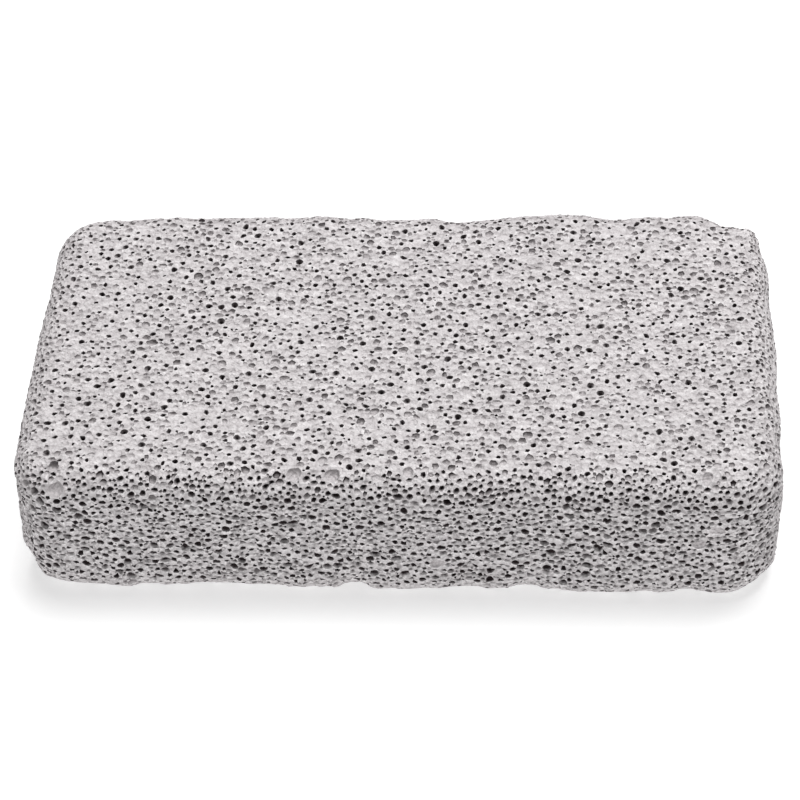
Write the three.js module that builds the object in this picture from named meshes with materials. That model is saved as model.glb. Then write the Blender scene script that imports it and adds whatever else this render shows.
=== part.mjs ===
// Pumice stone: one rounded block of foamed volcanic stone, the hand-sized kind
// used for rubbing skin. Millimetres, +X along the length, +Y across, +Z up.
// The block is a single closed body that rests on its flat underside at z = 0,
// centred on the origin. The pores are far finer than this envelope carries:
// this is the stone's outer surface, with its worn edges and chipped corners.
import * as THREE from 'three';
import { mergeVertices } from 'three/addons/utils/BufferGeometryUtils.js';

// ---- driving dimensions (mm) ----
const LENGTH = 100.0;        // along X
const WIDTH = 55.8;          // along Y
const HEIGHT = 21.2;         // along Z
const CORNER_RADIUS = 7.2;   // the four upright corners, seen from above
const EDGE_RADIUS = 4.1;     // worn edges round the top and the bottom
const WAVE_HEIGHT = 0.10;    // gentle unevenness of the rubbed faces
const BASE_BLEND = 1.2;      // the unevenness fades out this far above the base

// ---- how finely the envelope is divided ----
const CORNER_STEPS = 6;      // across one upright corner
const EDGE_STEPS = 4;        // across one worn edge
const LENGTH_STEPS = 36;     // along the straight part of the length
const WIDTH_STEPS = 13;      // along the straight part of the width
const WALL_STEPS = 4;        // up the straight part of a side

// Worn places: [x, y, z, reach, rise]. A positive rise is a lump that stands
// proud, a negative one is where a flake has come away. Round the top at the
// back first, then the right end, the bottom edge in front and the left end.
const WORN = [
  [-42, 26.5, 20.5, 3.2, -0.27],
  [-34, 27, 20.5, 1.8, 0.10],
  [-22, 27, 20, 9.0, 0.22],
  [-12.3, 27, 20, 1.8, 0.42],
  [-4, 27, 20, 1.2, -0.26],
  [2.6, 27, 20, 1.3, 0.20],
  [7, 27, 20, 2.6, -0.32],
  [15.5, 26.6, 20.6, 1.6, 0.16],
  [20.5, 27, 20, 4.2, 0.72],
  [24.3, 26.6, 20.6, 1.4, 0.16],
  [29, 27, 20, 2.0, -0.12],
  [37.5, 27, 20, 3.6, 0.60],
  [39.6, 26.8, 20.6, 1.4, 0.14],
  [44.6, 26.5, 20, 1.7, -1.00],
  [47.8, 24.8, 19.6, 1.3, 0.34],
  [49.6, 22.2, 18.6, 1.5, -0.72],
  [50, 12, 18, 1.8, -0.16],
  [50, 2.5, 17, 3.6, 0.20],
  [50, -10.5, 17.5, 2.6, 0.16],
  [50, -17.5, 18, 1.5, -0.42],
  [50, -21, 14, 3.0, 0.20],
  [49.6, -23, 4, 1.6, -0.20],
  [47.8, -25.4, 2, 1.5, -0.20],
  [42.5, -27, 1, 2.0, 0.25],
  [37.4, -27, 1.5, 1.2, -0.42],
  [33.8, -27, 1.5, 1.4, 0.16],
  [29, -27, 1, 7.0, 0.38],
  [17.2, -27, 1, 2.2, -0.58],
  [13.2, -27, 1.5, 1.8, 0.22],
  [6.2, -27, 1.5, 1.4, 0.16],
  [1.8, -27, 1.5, 1.3, 0.14],
  [-2.5, -27, 1.5, 1.4, 0.28],
  [-5.7, -27, 1, 1.6, -0.92],
  [-8.6, -27, 1.5, 1.2, 0.24],
  [-13.4, -27, 1.5, 1.6, 0.28],
  [-17, -27, 1, 3.0, -0.20],
  [-25, -27, 1, 3.4, -0.42],
  [-30.2, -27, 1.5, 1.4, 0.20],
  [-33.6, -27, 1.5, 1.2, -0.14],
  [-36.8, -27, 1.5, 1.6, 0.22],
  [-41, -26.8, 1.5, 4.0, 0.14],
  [-44.5, -26.3, 1, 2.4, -0.26],
  [-48.4, -24.6, 3, 1.3, -0.22],
  [-49.4, -23.2, 3.8, 1.4, -0.16],
  [-50, -21.5, 7, 2.2, 0.10],
  [-50, -22.4, 15.6, 2.2, -0.20],
  [-50, -8, 18.4, 3.2, 0.20],
  [-50, 20.8, 17.6, 1.8, 0.15],
];

// Positions along one axis: `ends` steps across each rounded end of length
// `zone`, and `middle` steps between them.
function stations(total, zone, ends, middle) {
  const half = total / 2;
  const list = [];
  for (let i = 0; i < ends; i++) list.push(-half + (zone * i) / ends);
  for (let i = 0; i <= middle; i++) list.push(-half + zone + ((total - 2 * zone) * i) / middle);
  for (let i = 1; i <= ends; i++) list.push(half - zone + (zone * i) / ends);
  return list;
}

const xs = stations(LENGTH, CORNER_RADIUS, CORNER_STEPS, LENGTH_STEPS);
const ys = stations(WIDTH, CORNER_RADIUS, CORNER_STEPS, WIDTH_STEPS);
const zs = stations(HEIGHT, EDGE_RADIUS, EDGE_STEPS, WALL_STEPS);

// The nearest point of the flat plate that the round edges are rolled about: a
// rounded rectangle, EDGE_RADIUS inside the block on every side.
function corePoint(p) {
  const cornerInner = CORNER_RADIUS - EDGE_RADIUS;
  const hx = LENGTH / 2 - CORNER_RADIUS;
  const hy = WIDTH / 2 - CORNER_RADIUS;
  const qx = THREE.MathUtils.clamp(p.x, -hx, hx);
  const qy = THREE.MathUtils.clamp(p.y, -hy, hy);
  const dx = p.x - qx;
  const dy = p.y - qy;
  const d = Math.hypot(dx, dy);
  const k = d > cornerInner ? cornerInner / d : 1;
  const hz = HEIGHT / 2 - EDGE_RADIUS;
  return new THREE.Vector3(qx + dx * k, qy + dy * k, THREE.MathUtils.clamp(p.z, -hz, hz));
}

// Slow unevenness of a rubbed face, between about -1 and 1.
function wave(p) {
  return (
    0.5 * Math.sin(0.23 * p.x + 0.7) * Math.cos(0.19 * p.y - 0.4) +
    0.3 * Math.sin(0.41 * p.y + 0.31 * p.z + 1.9) +
    0.2 * Math.cos(0.37 * p.x - 0.29 * p.y + 0.45 * p.z)
  );
}

function wornHeight(p) {
  let rise = WAVE_HEIGHT * wave(p);
  for (const [x, y, z, reach, height] of WORN) {
    const d2 = (p.x - x) ** 2 + (p.y - y) ** 2 + (p.z - z) ** 2;
    rise += height * Math.exp(-d2 / (2 * reach * reach));
  }
  return rise * THREE.MathUtils.smoothstep(p.z, 0, BASE_BLEND);
}

// ---- the stone ----
const geometry = new THREE.BoxGeometry(
  LENGTH, WIDTH, HEIGHT, xs.length - 1, ys.length - 1, zs.length - 1,
);
const at = geometry.attributes.position;
const pick = (list, value, total) => list[Math.round((value / total + 0.5) * (list.length - 1))];
for (let i = 0; i < at.count; i++) {
  const p = new THREE.Vector3(
    pick(xs, at.getX(i), LENGTH),
    pick(ys, at.getY(i), WIDTH),
    pick(zs, at.getZ(i), HEIGHT),
  );
  const core = corePoint(p);
  const outward = p.clone().sub(core).normalize();
  p.copy(core).addScaledVector(outward, EDGE_RADIUS);
  p.z += HEIGHT / 2;
  p.addScaledVector(outward, wornHeight(p));
  at.setXYZ(i, p.x, p.y, p.z);
}
geometry.deleteAttribute('uv');
geometry.deleteAttribute('normal');
const body = mergeVertices(geometry, 1e-4);
body.computeBoundingBox();
const middle = body.boundingBox.getCenter(new THREE.Vector3());
body.translate(-middle.x, -middle.y, -body.boundingBox.min.z);
body.computeVertexNormals();

const pumice = new THREE.MeshStandardMaterial({
  color: new THREE.Color().setRGB(0.75, 0.735, 0.735, THREE.SRGBColorSpace),
  roughness: 0.95,
  metalness: 0.0,
});

const stone = new THREE.Mesh(body, pumice);
stone.name = 'stone';

const model = new THREE.Group();
model.name = 'pumice_stone';
model.add(stone);

export default model;
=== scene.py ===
"""Looks of the pumice stone: one block of foamed stone whose open bubbles are real geometry.

The block's outer surface is the same rounded, worn envelope as the CAD solid. Bubble centres are
scattered over it, joined into one closed net of triangles, and every bubble is then opened: a rim on
the surface, walls going down, and a floor. Lengths below are in millimetres until the mesh is made.
"""
import math

import bpy
import numpy as np
from mathutils import Matrix, Vector
from mathutils.geometry import delaunay_2d_cdt


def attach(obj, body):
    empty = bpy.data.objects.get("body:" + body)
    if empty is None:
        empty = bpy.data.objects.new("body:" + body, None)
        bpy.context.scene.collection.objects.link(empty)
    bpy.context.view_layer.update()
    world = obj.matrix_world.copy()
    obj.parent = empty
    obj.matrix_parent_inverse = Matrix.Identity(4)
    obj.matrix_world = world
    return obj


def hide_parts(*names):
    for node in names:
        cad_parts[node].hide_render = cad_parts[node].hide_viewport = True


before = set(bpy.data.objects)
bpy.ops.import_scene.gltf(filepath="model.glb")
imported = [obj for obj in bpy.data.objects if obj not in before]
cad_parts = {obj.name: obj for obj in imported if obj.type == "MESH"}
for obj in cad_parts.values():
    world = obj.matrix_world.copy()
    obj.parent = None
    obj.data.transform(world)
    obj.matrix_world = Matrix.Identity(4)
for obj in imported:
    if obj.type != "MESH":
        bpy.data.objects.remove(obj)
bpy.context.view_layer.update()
RNG = np.random.RandomState(20483)

# ------------------------------------------------------------------ the envelope
LENGTH, WIDTH, HEIGHT = 100.0, 55.8, 21.2
CORNER_RADIUS, EDGE_RADIUS = 7.2, 4.1
WAVE_HEIGHT, BASE_BLEND = 0.10, 1.2
STEPS = dict(corner=6, edge=4, length=36, width=13, wall=4)
WORN = np.array([
    [-42, 26.5, 20.5, 3.2, -0.27],
    [-34, 27, 20.5, 1.8, 0.10],
    [-22, 27, 20, 9.0, 0.22],
    [-12.3, 27, 20, 1.8, 0.42],
    [-4, 27, 20, 1.2, -0.26],
    [2.6, 27, 20, 1.3, 0.20],
    [7, 27, 20, 2.6, -0.32],
    [15.5, 26.6, 20.6, 1.6, 0.16],
    [20.5, 27, 20, 4.2, 0.72],
    [24.3, 26.6, 20.6, 1.4, 0.16],
    [29, 27, 20, 2.0, -0.12],
    [37.5, 27, 20, 3.6, 0.60],
    [39.6, 26.8, 20.6, 1.4, 0.14],
    [44.6, 26.5, 20, 1.7, -1.00],
    [47.8, 24.8, 19.6, 1.3, 0.34],
    [49.6, 22.2, 18.6, 1.5, -0.72],
    [50, 12, 18, 1.8, -0.16],
    [50, 2.5, 17, 3.6, 0.20],
    [50, -10.5, 17.5, 2.6, 0.16],
    [50, -17.5, 18, 1.5, -0.42],
    [50, -21, 14, 3.0, 0.20],
    [49.6, -23, 4, 1.6, -0.20],
    [47.8, -25.4, 2, 1.5, -0.20],
    [42.5, -27, 1, 2.0, 0.25],
    [37.4, -27, 1.5, 1.2, -0.42],
    [33.8, -27, 1.5, 1.4, 0.16],
    [29, -27, 1, 7.0, 0.38],
    [17.2, -27, 1, 2.2, -0.58],
    [13.2, -27, 1.5, 1.8, 0.22],
    [6.2, -27, 1.5, 1.4, 0.16],
    [1.8, -27, 1.5, 1.3, 0.14],
    [-2.5, -27, 1.5, 1.4, 0.28],
    [-5.7, -27, 1, 1.6, -0.92],
    [-8.6, -27, 1.5, 1.2, 0.24],
    [-13.4, -27, 1.5, 1.6, 0.28],
    [-17, -27, 1, 3.0, -0.20],
    [-25, -27, 1, 3.4, -0.42],
    [-30.2, -27, 1.5, 1.4, 0.20],
    [-33.6, -27, 1.5, 1.2, -0.14],
    [-36.8, -27, 1.5, 1.6, 0.22],
    [-41, -26.8, 1.5, 4.0, 0.14],
    [-44.5, -26.3, 1, 2.4, -0.26],
    [-48.4, -24.6, 3, 1.3, -0.22],
    [-49.4, -23.2, 3.8, 1.4, -0.16],
    [-50, -21.5, 7, 2.2, 0.10],
    [-50, -22.4, 15.6, 2.2, -0.20],
    [-50, -8, 18.4, 3.2, 0.20],
    [-50, 20.8, 17.6, 1.8, 0.15],
])
# Chips and crumbs too small for the CAD solid's facets, in the same form.
CHIPS = np.array([
    [-20.5, 27, 20, 1.3, 0.14],
    [-5.8, 27, 20, 1.2, 0.16],
    [7, 27, 20, 1.2, -0.24],
    [32, 27, 20, 1.2, 0.16],
    [36.9, 27, 20.6, 1.1, -0.30],
    [45.4, 26, 20, 1.1, -0.28],
    [48.8, 24.6, 18.6, 1.0, 0.16],
    [50, 20.2, 17.6, 1.3, -0.26],
    [50, 0, 16, 2.4, 0.15],
    [50, -13.6, 15.5, 1.1, -0.24],
    [50, -16.3, 14, 1.2, 0.17],
    [49.4, -23.4, 3.2, 1.2, 0.18],
    [36.4, -27, 1.5, 1.0, 0.20],
    [32.6, -27, 1.5, 1.2, -0.28],
    [23.5, -27, 1.5, 1.4, 0.18],
    [19.3, -27, 1.5, 1.1, 0.21],
    [10.3, -27, 1.5, 1.2, -0.23],
    [7, -27, 1.5, 1.0, -0.15],
    [1, -27, 1.5, 1.2, 0.23],
    [-3.2, -27, 1.5, 1.1, 0.18],
    [-7.2, -26.8, 1.5, 1.0, 0.18],
    [-39, -27, 1.5, 1.2, -0.16],
    [-43, -27, 1.5, 1.3, -0.26],
    [-47.6, -25.4, 2, 1.0, 0.26],
    [-49.2, -23.6, 2.8, 1.1, -0.26],
    [-49.7, -22.8, 5.6, 1.1, 0.27],
    [-50, 2.5, 17.8, 5.0, 0.17],
])


def surface(p, chips=True):
    """The points of the envelope nearest to p, and the outward directions there."""
    p = np.asarray(p, float)
    inner = CORNER_RADIUS - EDGE_RADIUS
    q = p.copy()
    q[:, 0] = np.clip(p[:, 0], -(LENGTH / 2 - CORNER_RADIUS), LENGTH / 2 - CORNER_RADIUS)
    q[:, 1] = np.clip(p[:, 1], -(WIDTH / 2 - CORNER_RADIUS), WIDTH / 2 - CORNER_RADIUS)
    d = p[:, :2] - q[:, :2]
    r = np.hypot(d[:, 0], d[:, 1])
    k = np.where(r > inner, inner / np.maximum(r, 1e-9), 1.0)
    core = np.empty_like(p)
    core[:, :2] = q[:, :2] + d * k[:, None]
    core[:, 2] = np.clip(p[:, 2], EDGE_RADIUS, HEIGHT - EDGE_RADIUS)
    n = p - core
    n /= np.maximum(np.linalg.norm(n, axis=1), 1e-9)[:, None]
    s = core + EDGE_RADIUS * n
    wave = (0.5 * np.sin(0.23 * s[:, 0] + 0.7) * np.cos(0.19 * s[:, 1] - 0.4)
            + 0.3 * np.sin(0.41 * s[:, 1] + 0.31 * s[:, 2] + 1.9)
            + 0.2 * np.cos(0.37 * s[:, 0] - 0.29 * s[:, 1] + 0.45 * s[:, 2]))
    rise = WAVE_HEIGHT * wave
    for x, y, z, reach, height in np.concatenate([WORN, CHIPS]) if chips else WORN:
        d2 = (s[:, 0] - x) ** 2 + (s[:, 1] - y) ** 2 + (s[:, 2] - z) ** 2
        rise += height * np.exp(-d2 / (2 * reach * reach))
    t = np.clip(s[:, 2] / BASE_BLEND, 0, 1)
    rise *= t * t * (3 - 2 * t)
    return s + rise[:, None] * n, n


def box_points(xs, ys, zs):
    out = []
    for z in (0.0, HEIGHT):
        g = np.array(np.meshgrid(xs, ys, [z], indexing="ij")).reshape(3, -1).T
        out.append(g)
    for y in (-WIDTH / 2, WIDTH / 2):
        out.append(np.array(np.meshgrid(xs, [y], zs, indexing="ij")).reshape(3, -1).T)
    for x in (-LENGTH / 2, LENGTH / 2):
        out.append(np.array(np.meshgrid([x], ys, zs, indexing="ij")).reshape(3, -1).T)
    return np.concatenate(out)


def stations(total, zone, ends, middle):
    h = total / 2
    a = [-h + zone * i / ends for i in range(ends)]
    b = [-h + zone + (total - 2 * zone) * i / middle for i in range(middle + 1)]
    c = [h - zone + zone * i / ends for i in range(1, ends + 1)]
    return np.array(a + b + c)


# The CAD solid is centred after its edges are worn, so the same small shift applies here.
_grid, _ = surface(box_points(
    stations(LENGTH, CORNER_RADIUS, STEPS["corner"], STEPS["length"]),
    stations(WIDTH, CORNER_RADIUS, STEPS["corner"], STEPS["width"]),
    stations(HEIGHT, EDGE_RADIUS, STEPS["edge"], STEPS["wall"]) + HEIGHT / 2), chips=False)
SHIFT = np.array([-(_grid[:, 0].min() + _grid[:, 0].max()) / 2,
                  -(_grid[:, 1].min() + _grid[:, 1].max()) / 2, 0.0])


# ------------------------------------------------------------------ scattering the bubbles
def random_surface(n):
    """n random points of the envelope, with their outward directions."""
    areas = np.array([LENGTH * WIDTH, LENGTH * WIDTH, LENGTH * HEIGHT, LENGTH * HEIGHT,
                      WIDTH * HEIGHT, WIDTH * HEIGHT])
    face = RNG.choice(6, n, p=areas / areas.sum())
    u = RNG.rand(n, 3)
    p = (u - [0.5, 0.5, 0.0]) * [LENGTH, WIDTH, HEIGHT]
    p[face == 0, 2] = HEIGHT
    p[face == 1, 2] = 0.0
    p[face == 2, 1] = -WIDTH / 2
    p[face == 3, 1] = WIDTH / 2
    p[face == 4, 0] = -LENGTH / 2
    p[face == 5, 0] = LENGTH / 2
    return surface(p)


def drift(p, scale, seed):
    """A slow random field, about -1 to 1, for patches where the foam is denser or coarser."""
    r = np.random.RandomState(seed)
    out = np.zeros(len(p))
    for _ in range(6):
        k = r.normal(size=3)
        k *= (2 * math.pi / scale) / np.linalg.norm(k) * r.uniform(0.6, 1.5)
        out += np.sin(p @ k + r.uniform(0, 2 * math.pi))
    return out / 2.6


def swell(p, seed=77, shortest=1.0, longest=2.2, stretch=1.7):
    """Soft hills and hollows of the worn skin, about -1 to 1, longer from side to side."""
    r = np.random.RandomState(seed)
    q = p / [stretch, 1.0, 1.0]
    out = np.zeros(len(p))
    for _ in range(60):
        k = r.normal(size=3)
        k *= 2 * math.pi / (np.linalg.norm(k) * r.uniform(shortest, longest))
        out += np.sin(q @ k + r.uniform(0, 2 * math.pi))
    return out * 0.5 / math.sqrt(30)


SWELL = 0.11


class Darts:
    """Keeps the bubbles placed so far and says whether another one fits between them."""

    def __init__(self):
        self.cell = 1.7
        self.grid = {}
        self.big = []
        self.pos, self.nor, self.rad, self.kind = [], [], [], []

    def add(self, p, n, r, kind):
        self.pos.append(p)
        self.nor.append(n)
        self.rad.append(r)
        self.kind.append(kind)
        if r > 0.64:
            self.big.append((p[0], p[1], p[2], r))
        else:
            c = self.cell
            key = (int(p[0] // c), int(p[1] // c), int(p[2] // c))
            self.grid.setdefault(key, []).append((p[0], p[1], p[2], r, kind))

    def fits(self, x, y, z, r, gap, kind=-1, apart=0.0):
        for bx, by, bz, br in self.big:
            s = r + br + gap * 0.6
            if (x - bx) ** 2 + (y - by) ** 2 + (z - bz) ** 2 < s * s:
                return False
        c = self.cell
        i, j, k = int(x // c), int(y // c), int(z // c)
        get = self.grid.get
        for a in (i, i - 1, i + 1):
            for b in (j, j - 1, j + 1):
                for d in (k, k - 1, k + 1):
                    here = get((a, b, d))
                    if here:
                        for bx, by, bz, br, bk in here:
                            s = r + br + (apart if bk == kind and apart > gap else gap)
                            dx, dy, dz = x - bx, y - by, z - bz
                            if dx * dx + dy * dy + dz * dz < s * s:
                                return False
        return True

    def throw(self, count, tries, kind, radius, keep, gap, apart=0.0):
        """Places up to count bubbles: keep gives each candidate's chance, radius its size.

        apart is how far bubbles of the same kind keep from one another on the broad faces.
        """
        done = 0
        while done < count and tries > 0:
            m = min(40000, tries)
            tries -= m
            p, n = random_surface(m)
            ok = RNG.rand(m) < keep(p, n)
            r = radius(m, p, n)
            g = gap(m) * (1 - 0.85 * worn(n))
            a = apart * (1 - 0.46 * worn(n)) * (1 - 0.60 * bend(n)) * RNG.uniform(0.6, 1.1, m)
            p, n, r, g, a = p[ok], n[ok], r[ok], g[ok], a[ok]
            for q, w, rr, gg, aa in zip(p.tolist(), n.tolist(), r.tolist(), g.tolist(), a.tolist()):
                if self.fits(q[0], q[1], q[2], rr, gg, kind, aa):
                    self.add(q, w, rr, kind)
                    done += 1
                    if done >= count:
                        break
        return done


FAINT, PIN, HOLE, DISH, BOWL = 0, 1, 2, 3, 4
darts = Darts()

# The few bubbles that burst much larger than the rest.
DEEP = 0                                         # the first of them is also deep
for x, y, z, r in [
    (-43.7, -24.6, 21.1, 0.74), (-43.3, -27.2, 19.3, 1.05), (-12.5, -25.5, 20.8, 1.00),
    (-7.6, -25.6, 20.8, 0.95), (2.1, -25.1, 21.0, 0.70), (5.5, -27.9, 6.9, 0.85),
    (40.1, -25.7, 20.7, 0.85), (41.6, -27.9, 13.5, 0.80), (39.4, -27.9, 10.9, 0.75),
    (-31.0, 27.9, 13.0, 0.95), (8.0, 27.9, 8.0, 0.80), (33.5, 27.6, 17.0, 0.70),
    (50.0, 6.0, 12.5, 0.90), (50.0, -13.5, 7.0, 0.72), (-50.0, 11.0, 9.5, 0.85),
    (-50.0, -9.5, 14.0, 0.72), (-20.0, 9.0, 0.0, 0.95), (17.0, -11.0, 0.0, 0.85), (33.0, 14.0, 0.0, 0.75),
]:
    q, w = surface(np.array([[x, y, z]]))
    darts.add(q[0].tolist(), w[0].tolist(), r, BOWL)


def under(n):
    return np.clip(-n[:, 2] * 1.6 - 0.3, 0, 1)


def side(n):
    return np.clip(1.15 - np.abs(n[:, 2]) * 1.3, 0, 1)


def worn(n):
    """0 on the broad faces, 1 on the walls and on the rounded edges between them."""
    return np.clip(1.6 - 1.6 * np.abs(n[:, 2]), 0, 1)


def quiet(p, n):
    """The left end of the upper face is smoother."""
    return np.clip((-32 - p[:, 0]) / 9, 0, 1) * (n[:, 2] > 0.5)


def bend(n):
    """1 half way round the upper rounded edge."""
    z2 = n[:, 2] ** 2
    return 4 * z2 * (1 - z2) * (n[:, 2] > 0)


def rubbed(n):
    """1 on the upper edges of the two short ends, which are rubbed smoother."""
    return np.clip(2.2 * n[:, 0] ** 2, 0, 1) * np.clip(2.5 * n[:, 2], 0, 1)


def coarse(p, n):
    """Where open bubbles are more or less frequent: a band across the middle, and more to the right."""
    x = p[:, 0]
    upper = 1 + 0.35 * np.exp(-((x - 1) / 7) ** 2) - 0.22 * np.exp(-((x - 34) / 9) ** 2)
    return np.where(n[:, 2] > 0.6, upper, 1 + 0.08 * x / 50)


def keep_hole(p, n):
    k = 0.42 + 0.58 * worn(n) + 0.46 * bend(n) + 0.05 * drift(p, 26, 5)
    k *= coarse(p, n)
    k *= (1 - 0.95 * under(n)) * (1 - 0.50 * quiet(p, n)) * (1 - 0.60 * rubbed(n))
    return np.clip(k, 0.01, 1)


def keep_dish(p, n):
    k = 0.78 + 0.22 * worn(n) + 0.1 * drift(p, 18, 6)
    k *= (1 - 0.995 * under(n)) * (1 - 0.15 * quiet(p, n))
    return np.clip(k, 0.004, 1)


def lognormal(median, sigma, lo, hi):
    def radius(m, p, n):
        r = np.clip(median * np.exp(sigma * RNG.normal(size=m)), lo, hi) * (1 + 0.05 * side(n) - 0.08 * bend(n))
        return r * (1 - 0.07 * np.clip((p[:, 0] - 27) / 6, 0, 1) * (n[:, 2] > 0.6))
    return radius


def gap(lo, hi):
    return lambda m: RNG.uniform(lo, hi, m)


darts.throw(30, 8000, HOLE, lognormal(0.46, 0.07, 0.42, 0.54), lambda p, n: keep_hole(p, n) * (1 - 0.7 * worn(n)), gap(0.05, 0.4))
darts.throw(1500, 60000, DISH, lognormal(0.47, 0.09, 0.40, 0.60), lambda p, n: keep_dish(p, n) * (1 - 0.75 * worn(n)) * (1 - 0.5 * bend(n)) * (1 - 0.7 * quiet(p, n)), gap(0.0, 0.16))
darts.throw(5150, 260000, HOLE, lognormal(0.358, 0.18, 0.22, 0.48), keep_hole, gap(0.02, 0.26), 0.85)
darts.throw(6800, 500000, DISH, lognormal(0.370, 0.17, 0.24, 0.50), keep_dish, gap(0.0, 0.12), 0.10)
darts.throw(1100, 200000, DISH, lognormal(0.250, 0.12, 0.19, 0.32), keep_dish, gap(0.0, 0.06))
darts.throw(1300, 60000, PIN, lognormal(0.155, 0.18, 0.11, 0.22), keep_hole, gap(0.03, 0.2))
darts.throw(2200, 260000, FAINT, lognormal(0.28, 0.18, 0.20, 0.40), lambda p, n: 1 - 0.3 * under(n), gap(0.02, 0.12))

POS = np.array(darts.pos)
NOR = np.array(darts.nor)
RAD = np.array(darts.rad)
KIND = np.array(darts.kind)
N = len(POS)


# ------------------------------------------------------------------ one closed net through all centres
def closed_net(pos, weight):
    """Triangles, counter-clockwise from outside, that join all points of the block into one closed net."""
    u = (pos - [0, 0, HEIGHT / 2]) / [LENGTH / 2, WIDTH / 2, HEIGHT / 2]
    u /= np.linalg.norm(u, axis=1)[:, None]
    pole = int(np.argmin(np.where(pos[:, 2] < 0.2, np.hypot(pos[:, 0], pos[:, 1]), 1e9)))
    # turn the sphere so that the pole point is exactly at the bottom
    rot = np.array(Vector(u[pole]).rotation_difference(Vector((0, 0, -1))).to_matrix())
    w = u @ rot.T
    others = np.array([i for i in range(len(pos)) if i != pole])
    flat = w[others, :2] / (1 + w[others, 2])[:, None]
    pts = [Vector((float(a), float(b))) for a, b in flat]
    out_v, _, out_f, orig_v, _, _ = delaunay_2d_cdt(pts, [], [], 0, 1e-9)
    back = [o[0] for o in orig_v]
    tris = [[int(others[back[i]]) for i in f] for f in out_f]
    # counter-clockwise in the plane, then the outer ring is closed with the pole
    tri = np.array(tris)
    where = np.zeros((len(pos), 2))
    where[others] = flat
    a, b, c = where[tri[:, 0]], where[tri[:, 1]], where[tri[:, 2]]
    area = (b[:, 0] - a[:, 0]) * (c[:, 1] - a[:, 1]) - (b[:, 1] - a[:, 1]) * (c[:, 0] - a[:, 0])
    tri[area < 0] = tri[area < 0][:, [0, 2, 1]]
    edges = {}
    for t in tri.tolist():
        for k in range(3):
            edges[(t[k], t[(k + 1) % 3])] = 1
    rim = [(x, y) for (x, y) in edges if (y, x) not in edges]
    extra = [[y, x, pole] for x, y in rim]
    tri = np.concatenate([tri, np.array(extra)])
    # seen from outside or inside?
    a, b, c = pos[tri[:, 0]], pos[tri[:, 1]], pos[tri[:, 2]]
    vol = np.einsum("ij,ij->i", a - [0, 0, HEIGHT / 2], np.cross(b - [0, 0, HEIGHT / 2], c - [0, 0, HEIGHT / 2])).sum()
    if vol < 0:
        tri = tri[:, [0, 2, 1]]
    return improve(pos, weight, tri)


def improve(pos, weight, tri):
    """Turns edges until no bubble lies nearer to a triangle than its own corners do."""
    P = pos.tolist()
    W = weight.tolist()
    T = tri.tolist()
    edge = {}
    for t, (a, b, c) in enumerate(T):
        edge[(a, b)] = t
        edge[(b, c)] = t
        edge[(c, a)] = t
    stack = [(a, b) for (a, b) in edge if a < b]
    RNG.shuffle(stack)
    stack = [tuple(s) for s in stack]
    limit = 400000
    queued = set(stack)
    sqrt = math.sqrt
    while stack and limit > 0:
        limit -= 1
        a, b = stack.pop()
        queued.discard((a, b))
        t1 = edge.get((a, b))
        t2 = edge.get((b, a))
        if t1 is None or t2 is None:
            continue
        ta, tb = T[t1], T[t2]
        c = ta[0] + ta[1] + ta[2] - a - b
        d = tb[0] + tb[1] + tb[2] - a - b
        if (c, d) in edge or (d, c) in edge:
            continue
        pa, pb, pc, pd = P[a], P[b], P[c], P[d]
        ex, ey, ez = pb[0] - pa[0], pb[1] - pa[1], pb[2] - pa[2]
        L = sqrt(ex * ex + ey * ey + ez * ez)
        ex, ey, ez = ex / L, ey / L, ez / L
        cx, cy, cz = pc[0] - pa[0], pc[1] - pa[1], pc[2] - pa[2]
        dx, dy, dz = pd[0] - pa[0], pd[1] - pa[1], pd[2] - pa[2]
        xc = cx * ex + cy * ey + cz * ez
        yc = sqrt(max(cx * cx + cy * cy + cz * cz - xc * xc, 1e-12))
        xd = dx * ex + dy * ey + dz * ez
        yd = -sqrt(max(dx * dx + dy * dy + dz * dz - xd * xd, 1e-12))
        # the four corners must make a convex outline
        t = yc / (yc - yd)
        xi = xc + (xd - xc) * t
        if xi <= 0.02 * L or xi >= 0.98 * L:
            continue
        wa, wb, wc, wd = W[a], W[b], W[c], W[d]
        # lifted test: is d below the plane through a, b and c?
        zb = L * L - wb + wa
        zc = xc * xc + yc * yc - wc + wa
        zd = xd * xd + yd * yd - wd + wa
        gx = zb / L
        gy = (zc - gx * xc) / yc
        if zd >= gx * xd + gy * yd - 1e-7:
            continue
        # turn the edge a-b into c-d
        T[t1] = [c, a, d]
        T[t2] = [d, b, c]
        del edge[(a, b)], edge[(b, a)]
        edge[(c, a)] = t1
        edge[(a, d)] = t1
        edge[(d, c)] = t1
        edge[(d, b)] = t2
        edge[(b, c)] = t2
        edge[(c, d)] = t2
        for e in ((a, c), (c, b), (b, d), (d, a)):
            e = e if e[0] < e[1] else (e[1], e[0])
            if e not in queued:
                queued.add(e)
                stack.append(e)
    return np.array(T)


TRI = closed_net(POS, RAD ** 2)


# ------------------------------------------------------------------ opening the bubbles
BUDGET = 198500
ROUNDING = 9000                                  # of these, kept for rounding the widest openings


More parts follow.
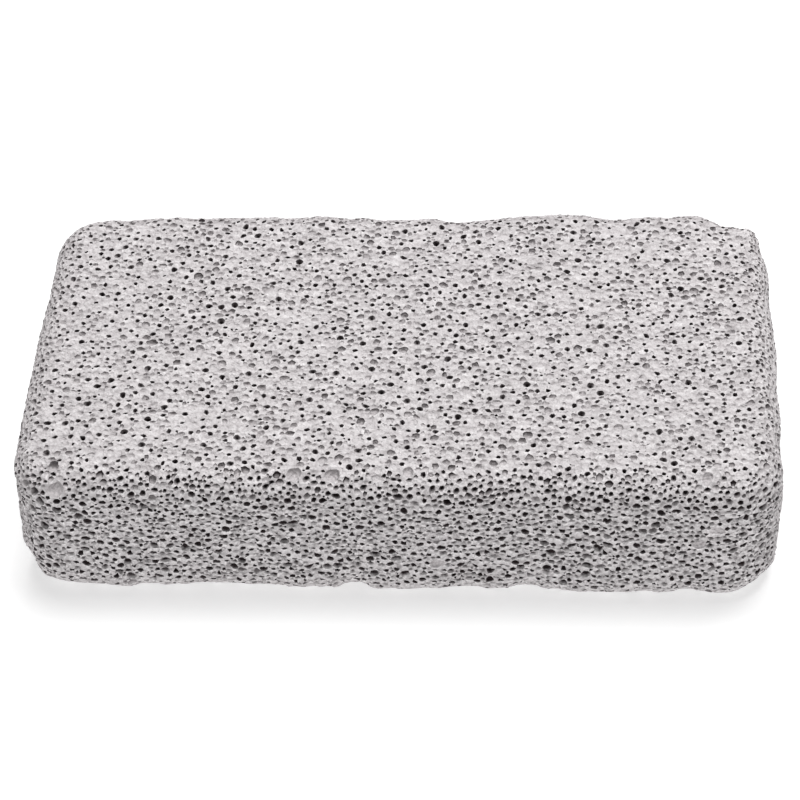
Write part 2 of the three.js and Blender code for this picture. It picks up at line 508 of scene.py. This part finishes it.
def build_mesh():
    nt = len(TRI)
    start = TRI.reshape(-1)                      # half-edge 3t+k leaves corner k of triangle t
    end = TRI[:, [1, 2, 0]].reshape(-1)
    key = start.astype(np.int64) * N + end
    order = np.argsort(key)
    twin = order[np.searchsorted(key[order], end.astype(np.int64) * N + start)]
    h = np.arange(3 * nt)
    prev = 3 * (h // 3) + (h % 3 + 2) % 3
    nxt = twin[prev]                             # the next half-edge round the same corner
    rimmed = KIND > FAINT

    # how far along every edge the rim lies, with ovals and a little unevenness
    t0 = np.cross(NOR, [0.0, 0.0, 1.0])
    flatish = np.linalg.norm(t0, axis=1) < 0.35
    t0[flatish] = np.cross(NOR[flatish], [0.0, 1.0, 0.0])
    t0 /= np.linalg.norm(t0, axis=1)[:, None]
    t1 = np.cross(NOR, t0)
    wall = side(NOR)
    along = np.maximum(wall, 0.7 * bend(NOR))    # where the openings lie along the edge
    turn = RNG.uniform(0, math.pi, N) * (1 - along) + RNG.normal(0, 0.35, N) * along
    axis = np.cos(turn)[:, None] * t0 + np.sin(turn)[:, None] * t1
    oval = np.exp(np.abs(RNG.normal(0, 0.16, N)) + (0.04 + np.abs(RNG.normal(0, 0.15, N))) * along)
    oval = np.where(KIND == HOLE, oval * 1.06, oval)
    vec = POS[end] - POS[start]
    nrm = NOR[start]
    tang = vec - (vec * nrm).sum(1)[:, None] * nrm
    length = np.linalg.norm(vec, axis=1)
    tang /= np.linalg.norm(tang, axis=1)[:, None]
    co = (tang * axis[start]).sum(1)
    si2 = 1 - co ** 2
    e = oval[start]
    reach = RAD[start] / np.sqrt(co ** 2 / e + si2 * e)
    reach *= RNG.uniform(0.90, 1.12, 3 * nt)
    reach = np.where(rimmed[start], reach * np.where(KIND[start] == DISH, 1.10, 1.0), 0.0)
    both = reach + reach[twin]
    room = length - 0.07
    k = np.minimum(1.0, room / np.maximum(both, 1e-9))
    reach *= k

    # some neighbours run into each other: the wall between them is broken down
    gap_ = length - reach - reach[twin]
    level = np.abs((tang * t0[start]).sum(1))
    chance = 0.08 + 0.20 * wall[start] * level ** 2
    pick = rimmed[start] & rimmed[end] & (gap_ < 0.34) & (KIND[start] != BOWL) & (KIND[end] != BOWL) & (start < end)
    pick &= RNG.rand(3 * nt) < chance
    broken = pick | pick[twin]
    # where two rims come very close they share one edge point
    shallow = (KIND[start] == DISH) & (KIND[end] == DISH)
    shared = rimmed[start] & rimmed[end] & ((gap_ < 0.11) | broken | (shallow & (gap_ < 0.34)))
    reach = np.where(shared, reach + gap_ / 2, reach)

    # how far a hole is worn open to one side
    opened = np.clip(RNG.uniform(0, 1, N) + 3.0 * (RAD - 0.36), 0, 1)
    depth = np.empty(N)
    depth[KIND == FAINT] = RNG.uniform(0.04, 0.20, (KIND == FAINT).sum()) * (1 + 0.8 * wall[KIND == FAINT])
    depth[KIND == PIN] = RAD[KIND == PIN] * RNG.uniform(1.6, 2.6, (KIND == PIN).sum())
    depth[KIND == HOLE] = (RAD * (2.5 - 1.1 * opened))[KIND == HOLE]
    is_dish = KIND == DISH
    depth[is_dish] = RAD[is_dish] * (RNG.uniform(0.22, 1.15, is_dish.sum()) + 0.60 * wall[is_dish])
    depth[KIND == BOWL] = RAD[KIND == BOWL] * RNG.uniform(0.50, 0.68, (KIND == BOWL).sum())
    depth[DEEP] = 1.25 * RAD[DEEP]

    depth *= np.where(is_dish, (1 + 0.35 * bend(NOR)) * (1 - 0.10 * quiet(POS, NOR)), 1.0)
    # a worn bubble is steep on its upper, far side and runs out gently on the other one
    high = np.array([0.0, 0.35, 1.0]) - NOR * (NOR @ [0.0, 0.35, 1.0])[:, None]
    high /= np.linalg.norm(high, axis=1)[:, None]
    upward = (tang * high[start]).sum(1)
    shift = RAD * np.where(KIND == DISH, RNG.uniform(0.20, 0.52, N), np.where(KIND == BOWL, 0.30, (0.12 + 0.53 * opened) * (1 - 0.3 * side(NOR)) + 0.22 * bend(NOR)))

    # rim corners
    own = rimmed[start]
    lead = own & (~shared | (start < end))       # one corner for each rim point
    vid = np.full(3 * nt, -1)
    nr = lead.sum()
    vid[lead] = np.arange(nr)
    vid[own & ~lead] = vid[twin[own & ~lead]]
    # every rim sits a little below the envelope, and is tipped to one side
    drop = np.abs(RNG.normal(0, 0.045, N)) * np.clip(RAD / 0.35, 0.5, 1.3)
    tip = RNG.normal(0, 0.055, (N, 2))
    lean = (tang * t0[start]).sum(1) * tip[start, 0] + (tang * t1[start]).sum(1) * tip[start, 1]
    sink = drop[start] + lean + RNG.normal(0, 1, 3 * nt) * (0.020 + 0.045 * wall[start])
    sink += RAD[start] * np.where(is_dish[start], 0.07 - 0.10 * upward, 0.0) + 0.04 * wall[start] * (1 - upward)
    sink = np.where(shared, (sink + sink[twin]) / 2 - 0.01, sink)
    low = np.minimum(depth[start], depth[end]) * 0.4
    sink = np.where(broken, sink + low, sink)
    sink = np.maximum(sink, 0.0)
    sink = np.where(under(NOR[start]) > 0.6, np.where(broken, sink, sink * 0.35), sink)
    rim_pos, rim_nor = surface(POS[start[lead]] + tang[lead] * reach[lead][:, None])
    rim_pos = rim_pos - rim_nor * sink[lead][:, None]
    # plain corners: faint hollows in the skin between the open bubbles
    plain = np.where(~rimmed)[0]
    pid = np.full(N, -1)
    pid[plain] = nr + np.arange(len(plain))
    vid[~own] = pid[start[~own]]
    plain_pos = POS[plain] - NOR[plain] * depth[plain][:, None]

    verts = [rim_pos, plain_pos]
    count = nr + len(plain)

    # floors
    cen = np.where(rimmed)[0]
    cid = np.full(N, -1)
    cid[cen] = count + np.arange(len(cen))
    lateral = RNG.normal(0, 0.10, (len(cen), 2)) * RAD[cen][:, None]
    floor_pos = (POS[cen] - NOR[cen] * depth[cen][:, None]
                 + t0[cen] * lateral[:, :1] + t1[cen] * lateral[:, 1:] + high[cen] * shift[cen][:, None])
    verts.append(floor_pos)
    count += len(cen)

    # rings part of the way down, for the bubbles that are widest and best seen, within the triangle budget
    degree = np.bincount(start, minlength=N)
    h0 = 3 * np.arange(nt)
    corners = np.stack([vid[h0], vid[twin[h0]], vid[h0 + 1], vid[twin[h0 + 1]], vid[h0 + 2], vid[twin[h0 + 2]]], 1)
    distinct = (corners != np.roll(corners, -1, axis=1)).sum(1)
    used = (distinct - 2).sum() + degree[rimmed].sum()
    score = RAD * (KIND != HOLE) * (1 - 0.8 * under(NOR)) + np.where(KIND == BOWL, 9.0, 0.0)
    score = np.where(rimmed & (KIND != PIN), score, -1)
    ranked = np.argsort(-score)
    cost = 2 * degree * np.where(KIND == BOWL, 2, 1)
    total = used + np.cumsum(cost[ranked])
    ringed = np.zeros(N, bool)
    ringed[ranked[(total < BUDGET - ROUNDING) & (score[ranked] > 0)]] = True
    r_in = np.where(KIND == HOLE, RNG.uniform(0.92, 1.04, N), RNG.uniform(0.70, 0.84, N))
    r_dn = np.where(KIND == HOLE, RNG.uniform(0.45, 0.60, N), RNG.uniform(0.70, 0.88, N))
    r_in = np.where(KIND == BOWL, 0.80, r_in)
    r_dn = np.where(KIND == BOWL, 0.50, r_dn)
    ring = own & ringed[start]
    rvid = np.full(3 * nt, -1)
    rvid[ring] = count + np.arange(ring.sum())
    s = start[ring]
    rp = rim_pos[vid[ring]]
    base = POS[s]
    off = rp - base
    hgt = (off * NOR[s]).sum(1)
    flat = off - hgt[:, None] * NOR[s]
    jit = RNG.uniform(0.93, 1.07, len(s))
    ring_pos = base + flat * (r_in[s] * jit)[:, None] + high[s] * (0.45 * shift[s])[:, None] - NOR[s] * (np.maximum(-hgt, 0) * 0.3 + depth[s] * r_dn[s] * RNG.uniform(0.93, 1.07, len(s)))[:, None]
    verts.append(ring_pos)
    count += len(s)

    # a second ring in the large bowls
    bowl = own & (KIND[start] == BOWL)
    bvid = np.full(3 * nt, -1)
    bvid[bowl] = count + np.arange(bowl.sum())
    s = start[bowl]
    off = ring_pos[rvid[bowl] - (nr + len(plain) + len(cen))] - POS[s]
    hgt = (off * NOR[s]).sum(1)
    flat = off - hgt[:, None] * NOR[s]
    verts.append(POS[s] + flat * 0.52 - NOR[s] * (depth[s] * 0.88)[:, None])
    count += len(s)

    # the widest openings get a second rim corner between every two
    wide = RAD * np.where(KIND == HOLE, 1.25, np.where(KIND == BOWL, 3.0, 1.0)) * (1 - 0.8 * under(NOR)) * rimmed
    spare = BUDGET - used - cost[ringed].sum()
    hh = h[own]
    hh = hh[np.argsort(-wide[start[hh]], kind="stable")][:int(spare * 0.75)]
    n2 = nxt[hh]
    bis = tang[hh] * reach[hh][:, None] + tang[n2] * reach[n2][:, None]
    chord = np.linalg.norm(bis, axis=1) / 2
    bis /= np.maximum(2 * chord, 1e-9)[:, None]
    t_, k_ = hh // 3, hh % 3
    near_ = np.full(len(hh), 9.0)
    all_pos = np.concatenate([rim_pos, plain_pos])
    for step in (1, 2, 3, 4):
        other_id = corners[t_, (2 * k_ + step) % 6]
        far_ = ((all_pos[other_id] - POS[start[hh]]) * bis).sum(1)
        near_ = np.where((other_id == vid[hh]) | (other_id == vid[n2]), near_, np.minimum(near_, far_))
    out_to = np.minimum((reach[hh] + reach[n2]) * 0.52, chord + 0.55 * (near_ - chord))
    fine = (out_to - chord > 0.02) & (chord > 0.12)
    hh, n2, bis, out_to = hh[fine], n2[fine], bis[fine], out_to[fine]
    hh, n2, bis, out_to = hh[:spare // 2], n2[:spare // 2], bis[:spare // 2], out_to[:spare // 2]
    mid_pos, mid_nor = surface(POS[start[hh]] + bis * out_to[:, None])
    verts.append(mid_pos - mid_nor * ((sink[hh] + sink[n2]) / 2)[:, None])
    mid_a, mid_b, mid_m = vid[hh], vid[n2], count + np.arange(len(hh))
    count += len(hh)

    V = np.concatenate(verts)
    # the whole skin rises and falls softly, and its bubbles with it
    at, facing = surface(V)
    hill = swell(at)
    V = V + facing * ((SWELL * hill * (1 - 0.9 * side(facing)) + 0.03) * (1 - np.clip(1.4 * under(facing), 0, 1)))[:, None]

    # the lower edge is ragged
    low_edge = 4 * facing[:, 2] ** 2 * (1 - facing[:, 2] ** 2) * (facing[:, 2] < 0) * np.clip(at[:, 2] / BASE_BLEND, 0, 1)
    V = V + facing * (0.15 * low_edge * swell(at, 91, 1.6, 4.0, 1.0))[:, None]

    # faces: the skin between the bubbles, then walls and floors
    tris, shade = [], []
    hex_ = corners.copy()
    other = RNG.rand(nt) < 0.5
    all_rim = rimmed[TRI].all(1)
    hex_[other & all_rim] = np.roll(hex_[other & all_rim], 1, axis=1)
    # the skin gets painted shade in its faint hollows and where it sinks between the soft hills, painted highlight on
    # the hills and along the lower rims, a random tone, and is a little darker at the left end of the upper face
    tone = np.zeros(nr + len(plain))
    tone[:nr] = RNG.uniform(-0.26, 0.10, nr) - (0.52 + 0.20 * wall[start[lead]]) * np.maximum(-upward[lead], 0)
    tone[nr:] = 0.03 + 2.0 * depth[plain] * RNG.uniform(0.3, 1.0, len(plain))
    tone -= 0.14 * (hill * (1 - 0.95 * side(facing)))[:nr + len(plain)]
    tone += 0.05 * quiet(at, facing)[:nr + len(plain)]
    for combo in ((0, 2, 4), (0, 1, 2), (2, 3, 4), (4, 5, 0)):
        t = hex_[:, combo]
        good = (t[:, 0] != t[:, 1]) & (t[:, 1] != t[:, 2]) & (t[:, 0] != t[:, 2])
        tris.append(t[good])
        shade.append(tone[t[good]])

    # painted shade inside a bubble: darker under its rim, by how steep the wall is there and more on its upper, far
    # side, and at its floor
    hole_like = (KIND == HOLE) | (KIND == PIN)
    w = wall[start]
    out_ = np.zeros((3 * nt, 3))
    out_[own] = rim_pos[vid[own]] - floor_pos[cid[start[own]] - cid[cen[0]]]
    fall = (out_ * NOR[start]).sum(1)
    run = np.linalg.norm(out_ - fall[:, None] * NOR[start], axis=1)
    slope = fall / np.maximum(run, 0.02)
    steep = np.clip((depth / RAD - 0.35) / 0.9, 0, 1)
    steep_ = steep[start]
    painted_shade = np.where(hole_like, 1.10 - 0.10 * opened ** 2 + 1.1 * wall,
                    (-0.25 + 0.50 * steep) * (1 - wall) + (0.30 + 1.15 * steep) * wall + 0.12 * bend(NOR) * steep)
    lip = np.clip((slope - 0.30) / 0.62, 0, 1) * (1 - w) * (1 + 0.3 * bend(NOR)[start]) + w * (0.12 * np.clip(slope - 0.5, 0, 1) + (0.22 + 0.50 * steep_) * np.maximum(upward, 0))
    face = np.maximum.reduce([0.70 * w, (0.10 + 1.35 * opened[start]) * (1 - 0.5 * w), 1.45 * bend(NOR)[start]])
    lip = np.where(hole_like[start], np.minimum(painted_shade[start], 1) * (0.95 - face * (0.34 - 0.30 * upward)), lip)
    lip = np.where(hole_like[start], lip, lip + 0.65 * bend(NOR)[start] * (0.3 + steep_) * np.maximum(upward, 0))
    # painted highlight: the lower lips are paler
    lip = np.where(hole_like[start], lip, lip - (0.42 + 0.25 * w) * np.maximum(-upward, 0))
    soft = 1 - 0.45 * rubbed(NOR)
    painted_shade = np.where(hole_like, painted_shade, painted_shade * soft)
    lip = np.where(hole_like[start], lip, lip * soft[start])
    # the large bowls get painted shade only under their upper rim
    big = KIND == BOWL
    painted_shade = np.where(big, 0.0, painted_shade)
    lip = np.where(big[start], 0.80 * np.clip((slope - 0.40) / 0.9, 0, 1) * np.clip(0.4 + upward, 0, 1), lip)

    def fan(edge_ids, ids, target, a_dark, c_dark):
        """ids: corner ids by half-edge; joins each pair of neighbours round a bubble to target."""
        hh = edge_ids
        A, B = ids[hh], ids[nxt[hh]]
        S = start[hh]
        tris.append(np.stack([A, B, target[S]], 1))
        shade.append(np.stack([a_dark[hh], a_dark[nxt[hh]], c_dark[S]], 1))

    def band(edge_ids, outer, inner, o_dark, i_dark):
        hh = edge_ids
        A, B, RA, RB = outer[hh], outer[nxt[hh]], inner[hh], inner[nxt[hh]]
        tris.append(np.stack([A, B, RB], 1))
        shade.append(np.stack([o_dark[hh], o_dark[nxt[hh]], i_dark[nxt[hh]]], 1))
        tris.append(np.stack([A, RB, RA], 1))
        shade.append(np.stack([o_dark[hh], i_dark[nxt[hh]], i_dark[hh]], 1))

    all_h = np.arange(3 * nt)
    simple = all_h[own & ~ringed[start]]
    skin = sum(len(t) for t in tris)
    fan(simple, vid, cid, lip, painted_shade)
    facets = np.arange(skin, skin + len(simple))
    rh = all_h[ring]
    # painted shade on the upper side of a ring, painted highlight on its lower side
    inner = np.where(hole_like[start], painted_shade[start], 0.8 * painted_shade[start] + 0.35 * steep_ * np.maximum(upward, 0) - 0.10 * np.maximum(-upward, 0))
    inner = np.where(big[start], (0.20 + 0.55 * steep_) * np.clip(0.25 + upward, 0, 1) - 0.12 * np.maximum(-upward, 0), inner)
    band(rh, vid, rvid, lip, inner)
    inner_only = all_h[ring & (KIND[start] != BOWL)]
    fan(inner_only, rvid, cid, inner, painted_shade)
    bh = all_h[bowl]
    band(bh, rvid, bvid, inner, 0.5 * inner)
    fan(bh, bvid, cid, 0.5 * inner, painted_shade)

    F = np.concatenate(tris)
    S = np.concatenate(shade)
    V = V + SHIFT
    V[:, 2] = np.maximum(V[:, 2], 0.0)
    # rims keep a crisp edge
    rim_a = vid[all_h[own]]
    rim_b = vid[nxt[all_h[own]]]
    rim_a = np.concatenate([rim_a, mid_a, mid_b])
    rim_b = np.concatenate([rim_b, mid_m, mid_m])
    crisp = np.stack([np.minimum(rim_a, rim_b), np.maximum(rim_a, rim_b)], 1)
    smooth = np.ones(len(F), bool)
    smooth[facets] = False
    F, S, smooth = add_corners(F, S, smooth, mid_a, mid_b, mid_m)
    return V, F, S, crisp, smooth


def add_corners(F, S, smooth, a, b, m):
    """Puts the corner m on every edge a-b, in both of the faces that meet there."""
    big = 10 ** 7
    key = np.minimum(a, b).astype(np.int64) * big + np.maximum(a, b)
    new = dict(zip(key.tolist(), m.tolist()))
    nxt_ = F[:, [1, 2, 0]].astype(np.int64)
    ek = np.minimum(F, nxt_) * big + np.maximum(F, nxt_)
    hit = np.isin(ek, key)
    touched = hit.any(1)
    faces, shades, soft = [], [], []
    for f, sh, keys, on, sm in zip(F[touched].tolist(), S[touched].tolist(), ek[touched].tolist(),
                                   hit[touched].tolist(), smooth[touched].tolist()):
        ids, tones = [], []
        for i in range(3):                       # corner, then the new corner behind it, or none
            ids += [f[i], new[keys[i]] if on[i] else -1]
            tones += [sh[i], (sh[i] + sh[(i + 1) % 3]) / 2]
        n_new = sum(on)
        if n_new == 1:
            i = on.index(True)
            parts = [(2 * i, 2 * i + 1, (2 * i + 4) % 6), (2 * i + 1, (2 * i + 2) % 6, (2 * i + 4) % 6)]
        elif n_new == 2:
            i = (on.index(False) + 1) % 3        # new corners on edges i and i+1
            parts = [(2 * i + 1, (2 * i + 2) % 6, (2 * i + 3) % 6), (2 * i, 2 * i + 1, (2 * i + 3) % 6),
                     (2 * i, (2 * i + 3) % 6, (2 * i + 4) % 6)]
        else:
            parts = [(0, 1, 5), (1, 2, 3), (3, 4, 5), (1, 3, 5)]
        for part in parts:
            faces.append([ids[q] for q in part])
            shades.append([tones[q] for q in part])
            soft.append(sm)
    F = np.concatenate([F[~touched], np.array(faces, dtype=F.dtype)])
    S = np.concatenate([S[~touched], np.array(shades)])
    return F, S, np.concatenate([smooth[~touched], np.array(soft, bool)])


V, F, S, CRISP, SMOOTH = build_mesh()

mesh = bpy.data.meshes.new("pumice_foam")
mesh.vertices.add(len(V))
mesh.vertices.foreach_set("co", (V / 1000).astype(np.float32).ravel())
mesh.loops.add(3 * len(F))
mesh.loops.foreach_set("vertex_index", F.astype(np.int32).ravel())
mesh.polygons.add(len(F))
mesh.polygons.foreach_set("loop_start", np.arange(0, 3 * len(F), 3, dtype=np.int32))
mesh.polygons.foreach_set("loop_total", np.full(len(F), 3, dtype=np.int32))
mesh.update(calc_edges=True)
mesh.validate()
mesh.polygons.foreach_set("use_smooth", SMOOTH)
ev = np.empty(2 * len(mesh.edges), dtype=np.int32)
mesh.edges.foreach_get("vertices", ev)
ev = np.sort(ev.reshape(-1, 2), axis=1).astype(np.int64)
sharp = np.isin(ev[:, 0] * len(V) + ev[:, 1], CRISP[:, 0].astype(np.int64) * len(V) + CRISP[:, 1])
layer = mesh.attributes.new("sharp_edge", "BOOLEAN", "EDGE")
layer.data.foreach_set("value", sharp)
# painted light on the stone: the first channel is painted shade, the second painted highlight, both with some random
# tone
painted_layer = mesh.attributes.new("painted_light_and_tone", "FLOAT_COLOR", "CORNER")
col = np.ones((3 * len(F), 4), dtype=np.float32)
col[:, 0] = np.maximum(S.ravel(), 0)            # how much darker
col[:, 1] = np.clip(-S.ravel(), 0, 1)            # how much paler
col[:, 2] = 0.0
painted_layer.data.foreach_set("color", col.ravel())
mesh.update()
stone = bpy.data.objects.new("pumice_stone", mesh)
bpy.context.scene.collection.objects.link(stone)
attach(stone, "root")
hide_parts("stone")


# ------------------------------------------------------------------ the stone's colour, with painted shade and highlight, and its bumps
def pumice_material():
    m = bpy.data.materials.new("pumice")
    m.use_nodes = True
    nt = m.node_tree
    nt.nodes.clear()
    new, link = nt.nodes.new, nt.links.new
    out = new("ShaderNodeOutputMaterial")
    bsdf = new("ShaderNodeBsdfPrincipled")
    link(bsdf.outputs[0], out.inputs[0])
    bsdf.inputs["Roughness"].default_value = 0.92
    bsdf.inputs["Specular IOR Level"].default_value = 0.25
    tex = new("ShaderNodeTexCoord")
    att = new("ShaderNodeAttribute")
    att.attribute_name = "painted_light_and_tone"

    grain = new("ShaderNodeTexNoise")
    grain.inputs["Scale"].default_value = 2600
    grain.inputs["Detail"].default_value = 4
    grain.inputs["Roughness"].default_value = 0.65
    patch = new("ShaderNodeTexNoise")
    patch.inputs["Scale"].default_value = 720
    patch.inputs["Detail"].default_value = 3
    patch.inputs["Roughness"].default_value = 0.6
    along = new("ShaderNodeMapping")             # the worn patches are longer from side to side
    along.inputs["Scale"].default_value = (0.55, 1.0, 1.0)
    link(tex.outputs["Object"], along.inputs["Vector"])
    link(along.outputs[0], patch.inputs["Vector"])
    link(tex.outputs["Object"], grain.inputs["Vector"])

    ramp = new("ShaderNodeValToRGB")
    ramp.color_ramp.elements[0].position = 0.35
    ramp.color_ramp.elements[0].color = (0.483, 0.455, 0.462, 1)
    ramp.color_ramp.elements[1].position = 0.65
    ramp.color_ramp.elements[1].color = (0.590, 0.556, 0.564, 1)
    link(patch.outputs["Fac"], ramp.inputs[0])
    speck = new("ShaderNodeMixRGB")
    speck.blend_type = "MULTIPLY"
    speck.inputs[0].default_value = 0.66
    gr = new("ShaderNodeValToRGB")
    gr.color_ramp.elements[0].position = 0.30
    gr.color_ramp.elements[0].color = (0.70, 0.69, 0.69, 1)
    gr.color_ramp.elements[1].position = 0.55
    gr.color_ramp.elements[1].color = (1, 1, 1, 1)
    link(grain.outputs["Fac"], gr.inputs[0])
    link(ramp.outputs[0], speck.inputs[1])
    link(gr.outputs[0], speck.inputs[2])
    # tiny bubbles too small for the mesh show as dark specks, painted shade of their openings
    dots = new("ShaderNodeTexVoronoi")
    dots.inputs["Scale"].default_value = 1300
    link(tex.outputs["Object"], dots.inputs["Vector"])
    some = new("ShaderNodeSeparateColor")
    link(dots.outputs["Color"], some.inputs[0])
    size = new("ShaderNodeMapRange")
    size.inputs[1].default_value, size.inputs[2].default_value = 0.35, 1.0
    size.inputs[3].default_value, size.inputs[4].default_value = 0.0, 0.22
    link(some.outputs[0], size.inputs[0])
    near = new("ShaderNodeMath")
    near.operation = "SUBTRACT"
    link(size.outputs[0], near.inputs[0])
    link(dots.outputs["Distance"], near.inputs[1])
    dot = new("ShaderNodeMapRange")
    dot.inputs[1].default_value, dot.inputs[2].default_value = 0.0, 0.05
    dot.inputs[3].default_value, dot.inputs[4].default_value = 0.0, 0.75
    link(near.outputs[0], dot.inputs[0])
    dotted = new("ShaderNodeMixRGB")
    dotted.inputs[2].default_value = (0.10, 0.092, 0.092, 1)
    link(dot.outputs[0], dotted.inputs[0])
    link(speck.outputs[0], dotted.inputs[1])
    part = new("ShaderNodeSeparateColor")
    link(att.outputs["Color"], part.inputs[0])
    # painted highlight from the attribute's second channel
    pale = new("ShaderNodeMixRGB")
    pale.blend_type = "MIX"
    pale.inputs[2].default_value = (0.92, 0.895, 0.90, 1)
    link(part.outputs[1], pale.inputs[0])
    link(dotted.outputs[0], pale.inputs[1])
    # painted shade from the attribute's first channel
    painted_shade = new("ShaderNodeMixRGB")
    painted_shade.blend_type = "MIX"
    painted_shade.inputs[2].default_value = (0.0225, 0.0146, 0.0157, 1)
    painted_shade.use_clamp = True
    link(part.outputs[0], painted_shade.inputs[0])
    link(pale.outputs[0], painted_shade.inputs[1])
    link(painted_shade.outputs[0], bsdf.inputs["Base Color"])

    cells = new("ShaderNodeTexVoronoi")
    cells.feature = "F1"
    cells.inputs["Scale"].default_value = 2400
    link(tex.outputs["Object"], cells.inputs["Vector"])
    dent = new("ShaderNodeMath")
    dent.operation = "POWER"
    dent.inputs[1].default_value = 1.6
    link(cells.outputs["Distance"], dent.inputs[0])
    mixh = new("ShaderNodeMath")
    mixh.operation = "MULTIPLY_ADD"
    mixh.inputs[1].default_value = 0.6
    link(grain.outputs["Fac"], mixh.inputs[0])
    link(dent.outputs[0], mixh.inputs[2])
    bump = new("ShaderNodeBump")
    bump.inputs["Strength"].default_value = 1.0
    bump.inputs["Distance"].default_value = 0.00022
    link(mixh.outputs[0], bump.inputs["Height"])
    link(bump.outputs[0], bsdf.inputs["Normal"])
    return m


mesh.materials.append(pumice_material())

# ------------------------------------------------------------------ floor, light, camera
scene = bpy.context.scene
fm = bpy.data.meshes.new("floor")
fm.from_pydata([(-3, -3, 0), (3, -3, 0), (3, 3, 0), (-3, 3, 0)], [], [(0, 1, 2, 3)])
floor = bpy.data.objects.new("floor", fm)
scene.collection.objects.link(floor)
fmat = bpy.data.materials.new("floor")
fmat.use_nodes = True
fb = fmat.node_tree.nodes["Principled BSDF"]
fb.inputs["Base Color"].default_value = (0.60, 0.60, 0.60, 1)
fb.inputs["Roughness"].default_value = 0.9
fb.inputs["Emission Color"].default_value = (1, 1, 1, 1)
fb.inputs["Emission Strength"].default_value = 0.55
fm.materials.append(fmat)

world = bpy.data.worlds.new("studio")
world.use_nodes = True
wt = world.node_tree
light_from = wt.nodes["Background"]
light_from.inputs[0].default_value = (1, 1, 1, 1)
light_from.inputs[1].default_value = 0.15
seen_as = wt.nodes.new("ShaderNodeBackground")   # as pale as the far edge of the floor
seen_as.inputs[0].default_value = (1, 1, 1, 1)
seen_as.inputs[1].default_value = 0.60
path = wt.nodes.new("ShaderNodeLightPath")
choose = wt.nodes.new("ShaderNodeMixShader")
wt.links.new(path.outputs["Is Camera Ray"], choose.inputs[0])
wt.links.new(light_from.outputs[0], choose.inputs[1])
wt.links.new(seen_as.outputs[0], choose.inputs[2])
wt.links.new(choose.outputs[0], wt.nodes["World Output"].inputs[0])
scene.world = world


def area(name, at, to, size, power):
    light = bpy.data.lights.new(name, "AREA")
    light.shape = "RECTANGLE"
    light.size, light.size_y = size
    light.energy = power
    o = bpy.data.objects.new(name, light)
    o.location = at
    o.rotation_euler = (Vector(to) - Vector(at)).to_track_quat("-Z", "Y").to_euler()
    scene.collection.objects.link(o)
    return o


area("key", (0.08, 0.20, 0.78), (0, 0, 0), (0.55, 0.45), 7.85)
area("front", (0.0, -0.90, 0.24), (0, 0, 0), (1.2, 0.3), 3.15)

scene.view_settings.view_transform = "Standard"
scene.view_settings.look = "None"

# The camera: 43 degrees down, 5 degrees to the right of straight on.
cam = bpy.data.cameras.new("camera")
cam.sensor_width = 36.0
cam.lens = 2710.582 / 800 * 36.0
cam.clip_start, cam.clip_end = 0.01, 20
eye = np.array([22.82507, -270.71027, 263.54589]) + SHIFT
el, az, roll = 0.7508, 0.0865, -0.0533
back = Vector((math.sin(az) * math.cos(el), -math.cos(az) * math.cos(el), math.sin(el)))
right = (-back).cross(Vector((0, 0, 1))).normalized()
up = right.cross(-back)
r2 = math.cos(roll) * right + math.sin(roll) * up
u2 = -math.sin(roll) * right + math.cos(roll) * up
cam_obj = bpy.data.objects.new("camera", cam)
m = Matrix((r2, u2, back)).transposed().to_4x4()
m.translation = Vector(eye / 1000)
cam_obj.matrix_world = m
scene.collection.objects.link(cam_obj)
scene.camera = cam_obj
